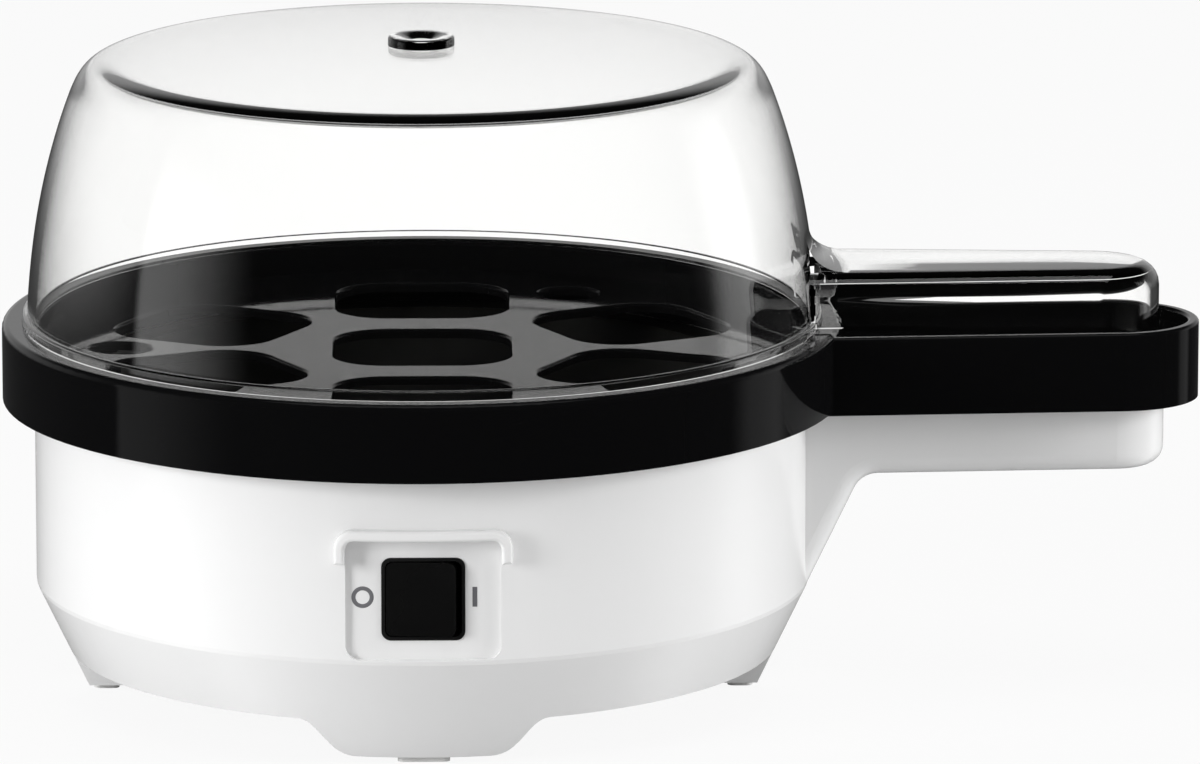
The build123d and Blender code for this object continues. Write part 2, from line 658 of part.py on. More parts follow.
def contact_pin():
    return disc(LEVER_PIN_R, SWITCH_Z - SWITCH_PIN_HALF, SWITCH_Z + SWITCH_PIN_HALF, 0, LEVER_PIN_Y)


def tilted(shape, angle, y):
    """Turns a piece about the upright line at x = 0 and the given y."""
    return Pos(0, y, 0) * Rot(0, 0, angle) * Pos(0, -y, 0) * shape


def rocker_button():
    """Dished rocker, resting with its O end pressed in."""
    half = SWITCH_W / 2 - FRAME_T - ROCKER_SIDE_GAP
    tall = SWITCH_H - 2 * (FRAME_T + ROCKER_END_GAP)
    front = PANEL_Y - FRAME_PROUD - ROCKER_PROUD
    face = ThreePointArc((-half, front), (0, front + ROCKER_DISH), (half, front))
    back_y = PIVOT_Y + ROCKER_BACK
    back = Polyline((half, front), (half, back_y), (-half, back_y), (-half, front))
    body = upright(make_face(face + back), SWITCH_Z - tall / 2, SWITCH_Z + tall / 2)
    outline = Pos(0, SWITCH_Z) * rounded(2 * half, tall, SWITCH_CORNER - FRAME_T / 2)
    body &= along_y(outline, front - PAST, back_y)
    body += along_y(Pos(0, SWITCH_Z) * Rectangle(STEM_W, STEM_W), PIVOT_Y, PIVOT_Y + STEM_L)
    body -= disc(PIN_R + PIN_GAP, SWITCH_Z - tall, SWITCH_Z + tall, 0, PIVOT_Y)
    body -= along_y(Pos(0, SWITCH_Z) * Circle(PLUNGER_R), PIVOT_Y + SPRING_START, PIVOT_Y + STEM_L + 1)
    return tilted(body, -ROCKER_TILT, PIVOT_Y)


def rocker_spring():
    """Stands for the small coil spring in the rocker's stem."""
    start = PIVOT_Y + SPRING_START
    coil = Circle(PLUNGER_R - 0.1) - Circle(PLUNGER_R - 0.6)
    return tilted(along_y(Pos(0, SWITCH_Z) * coil, start, start + SPRING_L), -ROCKER_TILT, PIVOT_Y)


def rocker_plunger():
    start = PIVOT_Y + SPRING_START + SPRING_L
    end = PIVOT_Y + PLUNGER_REACH - PLUNGER_R
    body = along_y(Pos(0, SWITCH_Z) * Circle(PLUNGER_R - 0.05), start, end)
    body += Pos(0, end, SWITCH_Z) * Sphere(PLUNGER_R - 0.05)
    return tilted(body, -ROCKER_TILT, PIVOT_Y)


def contact_lever():
    y = LEVER_PIN_Y
    front = y - LEVER_HUB_R
    z0, z1 = SWITCH_Z - LEVER_H / 2, SWITCH_Z + LEVER_H / 2
    lever = block(-LEVER_HALF, LEVER_HALF, front, front + LEVER_T, z0, z1)
    lever += disc(LEVER_HUB_R, z0, z1, 0, y)
    lever -= disc(LEVER_PIN_R + PIN_GAP, z0 - 1, z1 + 1, 0, y)
    return tilted(lever, ROCKER_TILT, y)


def cord_gland():
    """Grommet in the wall at the back, where the mains cord would come in."""
    inner, outer = WALL_IN - BOSS_IN, WALL_R + BOSS_OUT
    centre = Pos(0, GLAND_Z)
    gland = along_y(centre * Circle(GLAND_NECK_R), inner, outer)
    gland += along_y(centre * Circle(GLAND_FLANGE_R), outer, outer + GLAND_FLANGE_T)
    gland += along_y(centre * Circle(GLAND_FLANGE_R - 1), inner - GLAND_FLANGE_T, inner)
    return gland - along_y(centre * Circle(GLAND_BORE_R), inner - 10, outer + 10)


def cord_clamp():
    y0, y1 = CLAMP_Y - CLAMP_DEPTH / 2, CLAMP_Y + CLAMP_DEPTH / 2
    roof = GLAND_Z + GLAND_BORE_R
    clamp = block(-CLAMP_HALF, CLAMP_HALF, y0, y1, CORD_Z, roof + CLAMP_T)
    clamp -= block(-CORD_HALF, CORD_HALF, y0 - 1, y1 + 1, CORD_Z - 1, roof)
    for x in (-CLAMP_SCREW_X, CLAMP_SCREW_X):
        clamp -= disc(SCREW_R, CORD_Z - 1, roof + CLAMP_T + 1, x, CLAMP_Y)
    return clamp


def cord_clamp_screws():
    top = GLAND_Z + GLAND_BORE_R + CLAMP_T
    length = top - CORD_Z + CLAMP_SCREW_GRIP
    return [screw(x, CLAMP_Y, top, length, -1) for x in (-CLAMP_SCREW_X, CLAMP_SCREW_X)]


def terminal_block():
    y0, y1 = BLOCK_Y - BLOCK_DEPTH / 2, BLOCK_Y + BLOCK_DEPTH / 2
    body = block(-BLOCK_HALF, BLOCK_HALF, y0, y1, COVER_TOP, COVER_TOP + BLOCK_H)
    for x in (-TERMINAL_PITCH, 0, TERMINAL_PITCH):
        body -= disc(TERMINAL_R, COVER_TOP + BLOCK_H - TERMINAL_DEPTH, COVER_TOP + BLOCK_H + PAST, x, BLOCK_Y)
    return body


def terminal_screws():
    top = COVER_TOP + BLOCK_H
    screws = []
    for x in (-TERMINAL_PITCH, 0, TERMINAL_PITCH):
        head = disc(TERMINAL_R - UNDER_GAP, top - TERMINAL_DEPTH, top - TERMINAL_SINK, x, BLOCK_Y)
        slot_z = top - TERMINAL_SINK - SCREW_SLOT
        screws.append(head - block(x - TERMINAL_R, x + TERMINAL_R, BLOCK_Y - SCREW_SLOT / 2,
                                   BLOCK_Y + SCREW_SLOT / 2, slot_z, top))
    return screws


def wires():
    """Inner wires, each from the terminal block or a tab to what it feeds."""
    z = COVER_TOP + BLOCK_H / 2
    front = BLOCK_Y - BLOCK_DEPTH / 2
    blade_z = STAT_LOW - BLADE_L
    pin_z = ELEMENT_Z - PIN_DROP
    tab_y = BODY_BACK + TAB_OUT
    pin_x, pin_y = polar(ELEMENT_R, 270 + ELEMENT_GAP_ANGLE / 2)
    step = TERMINAL_PITCH
    blade_x = EARTH_X - EARTH_HALF + BLADE_T / 2
    low_z = pin_z - 9
    return {
        "wire_live": [(-step, front, z), (-step, front - 14, z), (-5, -10, z), (-4, -36, z + 4),
                      (-TAB_PITCH, tab_y + 10, SWITCH_Z), (-TAB_PITCH, tab_y, SWITCH_Z)],
        "wire_neutral": [(0, front, z), (0, front - 11, z), (0, 10, z + 7), (0, BLADE_Y, blade_z - 7),
                         (0, BLADE_Y, blade_z)],
        "wire_earth": [(step, front, z), (step, front - 10, z), (20, 12, z + 8), (blade_x, 0, z + 20),
                       (blade_x, 0, BOWL_UNDER - EARTH_L)],
        "wire_heater": [(TAB_PITCH, tab_y, SWITCH_Z), (TAB_PITCH, tab_y + 5, SWITCH_Z),
                        (TAB_PITCH + 1, tab_y + 8.5, low_z + 1), (pin_x, pin_y, low_z), (pin_x, pin_y, pin_z)],
        "wire_link": [(0, -BLADE_Y, blade_z), (0, -BLADE_Y, blade_z - 7), (-4, -20, blade_z - 10),
                      (-8, -34, blade_z - 9), (-pin_x, pin_y, low_z), (-pin_x, pin_y, pin_z)],
    }


def egg_hole(angle, inner, width, length):
    x, y = polar(inner + length / 2, angle)
    return Pos(x, y) * Rot(0, 0, angle) * rounded(length, width, HOLE_CORNER)


def egg_holes():
    """Outlines of the seven egg holes and the three steam holes."""
    outlines = [rounded(MID_HOLE_W, MID_HOLE_L, HOLE_CORNER)]
    for angle in (90, 270):
        outlines.append(egg_hole(angle, HOLE_INNER_FRONT, HOLE_W, HOLE_L))
    for angle in (SIDE_HOLE_ANGLE, 180 - SIDE_HOLE_ANGLE, 180 + SIDE_HOLE_ANGLE, 360 - SIDE_HOLE_ANGLE):
        outlines.append(egg_hole(angle, HOLE_INNER_SIDE, HOLE_W, HOLE_L))
    for angle in THIRDS:
        outlines.append(Pos(*polar(STEAM_CENTRE_R, angle)) * Circle(STEAM_R))
    return outlines


def trough_handle():
    """The tray's handle: a channel open at the top, with a hollow underside."""
    root = COLLAR_R - 20
    outside = disc(COLLAR_R - PAST, 0, COLLAR_TOP + PAST)
    trough = handle(TRAY_TIP_X, TRAY_TIP_R, root, TROUGH_BOTTOM, TROUGH_TOP)
    trough -= disc(COLLAR_R - COLLAR_T + PAST, 0, COLLAR_TOP + PAST)
    trough -= handle(TRAY_TIP_X, TRAY_TIP_R, root, TROUGH_FLOOR, TROUGH_TOP + PAST, TROUGH_WALL) - outside
    under = TROUGH_FLOOR - TROUGH_FLOOR_T
    trough -= handle(TRAY_TIP_X, TRAY_TIP_R, root, TROUGH_BOTTOM - PAST, under, TROUGH_WALL) - outside
    tops = [e for e in trough.edges() if abs(e.center().Z - TROUGH_TOP) < 0.01 and e.center().X > COLLAR_R + 5]
    return fillet(tops, TROUGH_ROUND)


def tray_collar():
    """The tray's wall: an outer skirt over the base's rim, a ledge the lid stands on, and a wall down to the
    plate."""
    seat_r = COLLAR_R - SEAT_IN
    inner_r = COLLAR_R - LEDGE_W
    roof = SEAT_Z - LIP_T
    collar = turned((COLLAR_R, COLLAR_BOTTOM), (COLLAR_R, COLLAR_TOP), (seat_r, COLLAR_TOP), (seat_r, SEAT_Z),
                    (inner_r, SEAT_Z), (inner_r, PLATE_BOTTOM), (inner_r + LIP_T, PLATE_BOTTOM),
                    (inner_r + LIP_T, roof), (COLLAR_R - COLLAR_T, roof), (COLLAR_R - COLLAR_T, COLLAR_BOTTOM))
    circles = [e for e in collar.edges() if e.geom_type == GeomType.CIRCLE]
    outer = [e for e in circles if abs(e.radius - COLLAR_R) < 0.01 and e.center().Z > COLLAR_TOP - 0.01]
    collar = fillet(outer, COLLAR_ROUND)
    inner = collar.edges().filter_by(GeomType.CIRCLE)
    inner = [e for e in inner if abs(e.radius - inner_r) < 0.01 and abs(e.center().Z - SEAT_Z) < 0.01]
    return fillet(inner, SEAT_ROUND)


def egg_carrier():
    """Tray, collar and trough handle, one black moulding."""
    collar = tray_collar()
    plate = disc(COLLAR_R - LEDGE_W + LIP_T / 2, PLATE_BOTTOM, PLATE_TOP)
    for outline in egg_holes():
        plate -= upright(outline, PLATE_BOTTOM - PAST, PLATE_TOP + PAST)
    flat = [e for e in plate.edges() if abs(e.center().Z - PLATE_TOP) < 0.01 and e.bounding_box().size.Z < 0.01]
    plate = fillet([e for e in flat if e.bounding_box().size.X < COLLAR_R / 2], HOLE_EDGE_ROUND)
    rib_r = WALL_IN - PART_GAP
    rib = ring(rib_r - RIB_T, rib_r, PLATE_BOTTOM - RIB_HEIGHT, PLATE_BOTTOM + PLATE_T / 4)
    return collar + plate + rib + trough_handle()


def lid_profile(inset):
    """Half outline of the dome as a face in x and z, moved in by inset."""
    foot_z = LID_FOOT_Z - (PAST if inset else 0)
    foot = (LID_FOOT_R - inset, foot_z)
    bend = (LID_FOOT_R - LID_DRAFT - inset, foot_z + 0.55 * (LID_SHOULDER_Z - foot_z))
    shoulder = (LID_SHOULDER_R - inset, LID_SHOULDER_Z - 0.3 * inset)
    rise = Vector(shoulder[0] - bend[0], shoulder[1] - bend[1]).normalized() * LID_TURN
    slope = 2 * (LID_TOP_Z - LID_EDGE_Z) / LID_TOP_R
    edge = (LID_TOP_R - 0.2 * inset, LID_EDGE_Z - inset)
    top = (0, LID_TOP_Z - inset)
    side = Bezier(foot, bend, shoulder)
    turn = Bezier(shoulder, (shoulder[0] + rise.X, shoulder[1] + rise.Y),
                  (edge[0] + LID_TURN, edge[1] - LID_TURN * slope), edge)
    crown = ThreePointArc(edge, (edge[0] / 2, edge[1] + 0.75 * (top[1] - edge[1])), top)
    return make_face(side + turn + crown + Polyline(top, (0, foot_z), foot))


def lid_blend():
    """Curved rise from the top of the lid's handle into the dome."""
    low, high = LID_HANDLE_TOP, LID_HANDLE_TOP + LID_BLEND_RISE
    inner = LID_SHOULDER_R
    outer = LID_FOOT_R + LID_BLEND_OUT
    curve = Bezier((outer, low), (LID_FOOT_R - LID_BLEND_TURN, low), (LID_FOOT_R - LID_BLEND_IN, high))
    rest = Polyline((LID_FOOT_R - LID_BLEND_IN, high), (inner, high), (inner, low - PAST), (outer, low - PAST),
                    (outer, low))
    bar = handle(LID_TIP_X, LID_TIP_R, inner, low - 2 * PAST, high + PAST, LID_HANDLE_ROUND)
    return revolve(Plane.XZ * make_face(curve + rest), Axis.Z) & bar


def round_top(bar, z, root, radius):
    """Fillets a handle's upper edges at z, but not the one at its root."""
    tops = [e for e in bar.edges() if abs(e.center().Z - z) < 0.01 and e.center().X > root + 0.5]
    return fillet(tops, radius)


def lid():
    """Clear dome with a hollow handle over the tray's trough, and a raised ring round the vent."""
    inside = revolve(Plane.XZ * lid_profile(LID_T), Axis.Z)
    root = LID_SHOULDER_R
    bar = handle(LID_TIP_X, LID_TIP_R, root, LID_HANDLE_FOOT, LID_HANDLE_TOP)
    bar = round_top(bar, LID_HANDLE_TOP, root, LID_HANDLE_ROUND)
    roof = LID_HANDLE_TOP - LID_T
    hollow = handle(LID_TIP_X, LID_TIP_R, root, LID_HANDLE_FOOT - PAST, roof, LID_T)
    hollow = round_top(hollow, roof, root, LID_HOLLOW_ROUND)
    bar -= hollow - disc(LID_FOOT_R + 0.6, 0, LID_HANDLE_TOP)
    bar -= disc(COLLAR_R + COLLAR_CLEAR, 0, COLLAR_TOP + COLLAR_CLEAR_TOP)
    band = disc(LID_BAND_R, LID_FOOT_Z, LID_FOOT_Z + LID_BAND_H)
    band = fillet(band.edges().sort_by(Axis.Z)[-1], LID_BAND_ROUND)
    shell = revolve(Plane.XZ * lid_profile(0), Axis.Z) + (band - inside) + (bar - inside) + (lid_blend() - inside)
    shell += disc(VENT_OUTER_R, LID_TOP_Z - PAST, LID_TOP_Z + VENT_HEIGHT)
    shell -= inside
    return shell - disc(VENT_R, LID_TOP_Z - 10, LID_TOP_Z + VENT_HEIGHT + PAST)


def export(node, piece):
    """Writes one node, moved so that the origin lies under the middle of the outer box."""
    solids = piece if isinstance(piece, list) else [piece]
    flat = [Pos(-ORIGIN_X, 0, 0) * s for p in solids for s in p.solids()]
    shape = flat[0] if len(flat) == 1 else Compound(children=flat)
    export_step(shape, f"parts/{node}.step")


os.makedirs("parts", exist_ok=True)
for make in (base_housing, foot_pads, bottom_cover, bottom_cover_screws, heating_bowl, bowl_seal,
             heating_element, element_clips, bowl_studs, stud_nuts, thermostat, thermostat_bracket, thermal_fuse,
             fuse_clip, earth_tab, switch_body, switch_tabs, rocker_pin, rocker_button, rocker_spring,
             rocker_plunger, contact_lever, contact_pin, cord_gland, cord_clamp, cord_clamp_screws,
             terminal_block, terminal_screws, egg_carrier, lid):
    export(make.__name__, make())
for name, route in wires().items():
    export(name, tube(route, WIRE_R))
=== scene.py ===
import bpy
import json
import math
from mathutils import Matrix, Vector


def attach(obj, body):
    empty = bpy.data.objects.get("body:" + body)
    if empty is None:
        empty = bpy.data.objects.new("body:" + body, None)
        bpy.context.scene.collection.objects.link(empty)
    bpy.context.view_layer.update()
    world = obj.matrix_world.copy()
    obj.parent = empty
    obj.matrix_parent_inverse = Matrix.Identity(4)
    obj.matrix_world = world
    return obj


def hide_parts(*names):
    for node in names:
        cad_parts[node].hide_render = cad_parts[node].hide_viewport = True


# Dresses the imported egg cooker: a white base, a black egg tray and a clear lid, in a bright product studio.
# Metres, +Z up, the switch towards -Y and the handles towards +X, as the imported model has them.

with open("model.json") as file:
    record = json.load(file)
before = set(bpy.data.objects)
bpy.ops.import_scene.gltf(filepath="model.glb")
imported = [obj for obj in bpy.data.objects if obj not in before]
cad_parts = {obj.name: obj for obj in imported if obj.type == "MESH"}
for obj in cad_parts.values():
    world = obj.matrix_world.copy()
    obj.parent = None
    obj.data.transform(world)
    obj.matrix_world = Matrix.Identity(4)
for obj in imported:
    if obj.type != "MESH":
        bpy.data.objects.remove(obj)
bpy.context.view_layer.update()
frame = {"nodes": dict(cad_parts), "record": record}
nodes = frame["nodes"]

AXIS_X = -0.0426          # upright axis of the bowl, tray and lid
AXIS = (AXIS_X, 0.0, 0.0)
MARK_Z = 0.0420           # middle height of the marks beside the rocker
PANEL_Y = -0.0896         # front of the recessed switch panel

# The lid: radii from its axis and heights above the ground
FOOT_R = 0.0941
FOOT_Z = 0.0889
BAND_R = 0.0951
BAND_H = 0.0027
BAND_ROUND = 0.0006
BEND_R = 0.0929
BEND_Z = 0.1187
SHOULDER_R = 0.0837
SHOULDER_Z = 0.1431
TURN = 0.0077             # how far the shoulder keeps each of its two directions, outside and inside
INNER_TURN = 0.0079
TOP_R = 0.0710
EDGE_Z = 0.1523
TOP_Z = 0.1551
WALL = 0.0020
VENT_TOP_R = 0.0053       # the vent's hole opens into a shallow dish in its ring
VENT_LOW_R = 0.0024
VENT_DISH = 0.0011
VENT_RIM_R = 0.0079
VENT_H = 0.0022           # 1 mm lower than in the CAD lid, as the photo has it
VENT_ROUND = 0.0007
HANDLE_TIP_X = 0.1756
HANDLE_TIP_R = 0.0160
HANDLE_TOP = 0.1025
HANDLE_FOOT = 0.0832
HANDLE_ROUND = 0.0056
HOLLOW_ROUND = 0.0003
TAPER = math.radians(3.4)
STRADDLE_R = 0.1012       # inside this the handle is cut away over the tray's collar
STRADDLE_Z = 0.0901
BLEND_R = 0.1022
BLEND_Z = 0.1115
BLEND_TOP_R = 0.0918      # where the handle's curved rise meets the dome
BLEND_DRAW = 0.0008       # how far inside the dome's foot the rise bends

SPIN_STEPS = 180
SIDE_STEPS = 20           # steps along the dome's side, along its shoulder and round the handle's tip
SHOULDER_STEPS = 24
TIP_STEPS = 32
OVERLAP = 0.001           # how far cutting and joining bodies pass what they meet
MERGE = 0.000001          # points closer than this are one
LEVEL = 0.00001           # points this close to a height lie on it

# The printed marks beside the rocker
OFF_X = -0.0140           # from the axis
OFF_RADIUS = 0.0021
OFF_LINE = 0.00048
OFF_FLATTEN = 0.2
ON_X = 0.0119
ON_SIZE = (0.0011, 0.00014, 0.0047)
ON_SOFTEN = 0.00005

# The studio: the camera's fit to the photo, and lamps as place, width, height, power and whether gloss mirrors them
CAMERA_PLACE = (AXIS_X, -2.4, 0.5926)
CAMERA_DOWN = 12.21
CAMERA_TURN = -1.011
CAMERA_LENS = 308.8
LAMPS = (((0.0, -0.35, 1.9), 1.6, 1.2, 11, True),
         ((-1.60, -0.90, 0.45), 0.6, 0.8, 27, False),
         ((1.75, -0.30, 0.45), 0.6, 0.8, 24, False))
LAMP_AIM = (0, 0, 0.05)
FLOOR_SIZE = 14
FLOOR_LIFT = 0.92         # share of the floor that shows as plain white; the rest keeps the shadow
SIDE_PANELS = ((-50, -84, -90, -93, 1.3), (92, 102, 112, 122, 1.0))  # degrees where each starts, peaks and ends

CLEAR_WHITE = 1.25        # what lies behind the clear lid, so that it shows as white as the rest


# Small helpers

def clear_selection():
    if bpy.context.object and bpy.context.object.mode != "OBJECT":
        bpy.ops.object.mode_set(mode="OBJECT")
    bpy.ops.object.select_all(action="DESELECT")


def pick(piece):
    clear_selection()
    piece.select_set(True)
    bpy.context.view_layer.objects.active = piece


def settle(piece, name):
    """Puts the piece's place into its mesh and names it."""
    pick(piece)
    bpy.ops.object.transform_apply(location=True, rotation=True, scale=True)
    piece.name = name
    piece.data.name = name
    return piece


def finish_modifiers(piece):
    pick(piece)
    for modifier in list(piece.modifiers):
        bpy.ops.object.modifier_apply(modifier=modifier.name)


def smooth(piece, angle=30):
    pick(piece)
    bpy.ops.object.shade_smooth_by_angle(angle=math.radians(angle))


def edit_edges(piece, wanted):
    """Goes into edit mode with only those edges selected whose two ends pass the test."""
    pick(piece)
    bpy.ops.object.mode_set(mode="EDIT")
    bpy.ops.mesh.select_mode(type="EDGE")
    bpy.ops.mesh.select_all(action="DESELECT")
    bpy.ops.object.mode_set(mode="OBJECT")
    points = piece.data.vertices
    for edge in piece.data.edges:
        edge.select = all(wanted(points[index].co) for index in edge.vertices)
    bpy.ops.object.mode_set(mode="EDIT")


def trace(points):
    """Draws a line through the points, vertex by vertex, and stays in edit mode with all of it selected."""
    clear_selection()
    bpy.ops.mesh.primitive_plane_add(size=0.002, location=points[0])
    bpy.ops.object.mode_set(mode="EDIT")
    bpy.ops.mesh.select_mode(type="VERT")
    bpy.ops.mesh.merge(type="CENTER")
    for here, there in zip(points, points[1:]):
        bpy.ops.mesh.extrude_region_move(TRANSFORM_OT_translate={"value": there - here})
    bpy.ops.mesh.select_all(action="SELECT")
    return bpy.context.object


def close_up():
    """In edit mode: merges what meets and points the faces outwards."""
    bpy.ops.mesh.select_all(action="SELECT")
    bpy.ops.mesh.remove_doubles(threshold=MERGE)
    bpy.ops.mesh.normals_make_consistent(inside=False)
    bpy.ops.object.mode_set(mode="OBJECT")


def spun(outline, name):
    """A closed body of revolution about the cooker's axis, from (radius, height) points that start and end on it."""
    piece = trace([Vector((AXIS_X + radius, 0, height)) for radius, height in outline])
    bpy.ops.mesh.spin(steps=SPIN_STEPS, angle=math.tau, center=AXIS, axis=(0, 0, 1))
    close_up()
    return settle(piece, name)


def boolean(piece, tool, operation):
    """Joins the tool to the piece, cuts it out or keeps what both share, and removes the tool."""
    change = piece.modifiers.new("shape", "BOOLEAN")
    change.operation = operation
    change.solver = "EXACT"
    change.object = tool
    finish_modifiers(piece)
    bpy.data.objects.remove(tool)


def drum(radius, low, high):
    clear_selection()
    bpy.ops.mesh.primitive_cylinder_add(vertices=SPIN_STEPS, radius=radius, depth=high - low,
                                        location=(AXIS_X, 0, (low + high) / 2))
    return settle(bpy.context.object, "drum")


def curve(controls, steps):
    """Points along the smooth curve that three or four control points give."""
    path = []
    for step in range(steps + 1):
        row = [Vector(control) for control in controls]
        while len(row) > 1:
            row = [a.lerp(b, step / steps) for a, b in zip(row, row[1:])]
        path.append(row[0])
    return path


def coat(piece, material):
    piece.data.materials.clear()
    piece.data.materials.append(material)


# Material building blocks

class Tree:
    """A node tree, with short ways to add to it."""

    def __init__(self, tree):
        self.tree = tree

    def node(self, kind, **settings):
        made = self.tree.nodes.new(kind)
        for key, value in settings.items():
            setattr(made, key, value)
        return made

    def link(self, source, target):
        self.tree.links.new(source, target)

    def feed(self, value, socket):
        if isinstance(value, (int, float)):
            socket.default_value = value
        else:
            self.link(value, socket)

    def math(self, operation, a, b):
        made = self.node("ShaderNodeMath", operation=operation)
        self.feed(a, made.inputs[0])
        self.feed(b, made.inputs[1])
        return made.outputs["Value"]

    def remap(self, value, low, high, to_low=0.0, to_high=1.0, interpolation="LINEAR"):
        made = self.node("ShaderNodeMapRange", interpolation_type=interpolation)
        self.feed(value, made.inputs["Value"])
        for label, number in (("From Min", low), ("From Max", high), ("To Min", to_low), ("To Max", to_high)):
            made.inputs[label].default_value = number
        return made.outputs["Result"]

    def choose(self, flag, chosen, other):
        """The chosen value where the flag is 1, and the other where it is 0."""
        return self.math("ADD", other, self.math("MULTIPLY", flag, self.math("SUBTRACT", chosen, other)))

    def tint(self, factor, colour, other):
        made = self.node("ShaderNodeMix", data_type="RGBA")
        made.inputs["A"].default_value = (*colour, 1)
        made.inputs["B"].default_value = (*other, 1)
        self.link(factor, made.inputs["Factor"])
        return made.outputs["Result"]


class Surface(Tree):
    """A material with its Principled shader."""

    def __init__(self, name, **values):
        self.material = bpy.data.materials.new(name)
        self.material.use_nodes = True
        super().__init__(self.material.node_tree)
        self.shader = self.tree.nodes["Principled BSDF"]
        self.output = self.tree.nodes["Material Output"]
        for label, value in values.items():
            self.shader.inputs[label.replace("_", " ")].default_value = value

    def group(self, group, **values):
        made = self.node("ShaderNodeGroup")
        made.node_tree = group
        for label, value in values.items():
            made.inputs[label.replace("_", " ")].default_value = value
        return made.outputs

    def wear(self, label, source):
        """Feeds one of the shader's sockets."""
        self.link(source, self.shader.inputs[label])

    def blend(self, factor, shader, other):
        made = self.node("ShaderNodeMixShader")
        self.link(factor, made.inputs["Fac"])
        self.link(shader, made.inputs[1])
        self.link(other, made.inputs[2])
        return made.outputs["Shader"]

    def bump(self, height, distance):
        relief = self.node("ShaderNodeBump")
        relief.inputs["Distance"].default_value = distance
        self.link(height, relief.inputs["Height"])
        self.wear("Normal", relief.outputs["Normal"])


class Effect(Tree):
    """A shader node group with named inputs and outputs."""

    def __init__(self, name, inputs, outputs):
        super().__init__(bpy.data.node_groups.new(name, "ShaderNodeTree"))
        for label, value in inputs.items():
            socket = self.tree.interface.new_socket(name=label, in_out="INPUT", socket_type="NodeSocketFloat")
            socket.default_value = value
        for label in outputs:
            self.tree.interface.new_socket(name=label, in_out="OUTPUT", socket_type="NodeSocketFloat")
        self.inputs = self.node("NodeGroupInput").outputs
        self.outputs = self.node("NodeGroupOutput").inputs

    def give(self, label, source):
        self.link(source, self.outputs[label])

    def noise(self, scale, detail, roughness=0.5, stretch=None):
        """Noise on Object coordinates."""
        where = self.node("ShaderNodeTexCoord").outputs["Object"]
        if stretch:
            mapping = self.node("ShaderNodeMapping")
            mapping.inputs["Scale"].default_value = stretch
            self.link(where, mapping.inputs["Vector"])
            where = mapping.outputs["Vector"]
        pattern = self.node("ShaderNodeTexNoise")
        pattern.inputs["Detail"].default_value = detail
        pattern.inputs["Roughness"].default_value = roughness
        self.link(where, pattern.inputs["Vector"])
        self.feed(scale, pattern.inputs["Scale"])
        return pattern.outputs["Fac"]


def moulded_effect():
    """Moulded plastic: gloss that varies a little with handling, and the faint ripple of the mould."""
    effect = Effect("moulded plastic", {"Gloss Roughness": 0.2, "Handling": 0.06, "Handling Scale": 18.0,
                                        "Ripple Scale": 260.0}, ["Roughness", "Height", "Shade"])
    smudge = effect.remap(effect.noise(effect.inputs["Handling Scale"], 4, 0.55), 0.3, 0.72, 0, 1, "SMOOTHSTEP")
    spread = effect.math("MULTIPLY", smudge, effect.inputs["Handling"])
    effect.give("Roughness", effect.math("ADD", spread, effect.inputs["Gloss Roughness"]))
    effect.give("Height", effect.noise(effect.inputs["Ripple Scale"], 2))
    effect.give("Shade", smudge)
    return effect.tree


def hairline_effect():
    """Fine wiping scratches, in two directions, as a mask."""
    effect = Effect("hairline scratches", {"Scale": 60.0, "Amount": 0.5}, ["Mask"])
    one = effect.noise(effect.inputs["Scale"], 3, 0.7, (1.0, 14.0, 9.0))
    two = effect.noise(effect.inputs["Scale"], 3, 0.7, (11.0, 1.0, 12.0))
    both = effect.math("MAXIMUM", effect.remap(one, 0.60, 0.74), effect.remap(two, 0.62, 0.76))
    effect.give("Mask", effect.math("MULTIPLY", both, effect.inputs["Amount"]))
    return effect.tree


def turned_effect():
    """Rings about the cooker's upright axis, as spinning leaves them in sheet metal."""
    effect = Effect("turned rings", {"Ring Scale": 900.0, "Depth": 1.0}, ["Height"])
    mapping = effect.node("ShaderNodeMapping")
    mapping.inputs["Location"].default_value = (-AXIS_X, 0.0, 0.0)
    mapping.inputs["Scale"].default_value = (1.0, 1.0, 0.0)
    effect.link(effect.node("ShaderNodeTexCoord").outputs["Object"], mapping.inputs["Vector"])
    reach = effect.node("ShaderNodeVectorMath", operation="LENGTH")
    effect.link(mapping.outputs["Vector"], reach.inputs[0])
    rings = effect.node("ShaderNodeTexNoise", noise_dimensions="1D")
    rings.inputs["Detail"].default_value = 3
    effect.link(reach.outputs["Value"], rings.inputs["W"])
    effect.link(effect.inputs["Ring Scale"], rings.inputs["Scale"])
    effect.give("Height", effect.math("MULTIPLY", rings.outputs["Fac"], effect.inputs["Depth"]))
    return effect.tree


MOULDED = moulded_effect()
HAIRLINES = hairline_effect()
TURNED = turned_effect()


def finish(name, colour, worn, roughness, handling, ripple, scale=18.0, ripple_scale=260.0, **values):
    """A surface whose colour and gloss turn slightly to worn where it has been handled."""
    made = Surface(name, **values)
    skin = made.group(MOULDED, Gloss_Roughness=roughness, Handling=handling, Handling_Scale=scale,
                      Ripple_Scale=ripple_scale)
    made.wear("Base Color", made.tint(skin["Shade"], colour, worn))
    made.wear("Roughness", skin["Roughness"])
    made.bump(skin["Height"], ripple)
    return made.material


def metal(name, colour, dark, roughness, variation, scale=60.0):
    """Plain metal with darker, duller patches from its plating."""
    return finish(name, colour, dark, roughness, variation, 0.00003, scale, 900.0, Metallic=1.0)


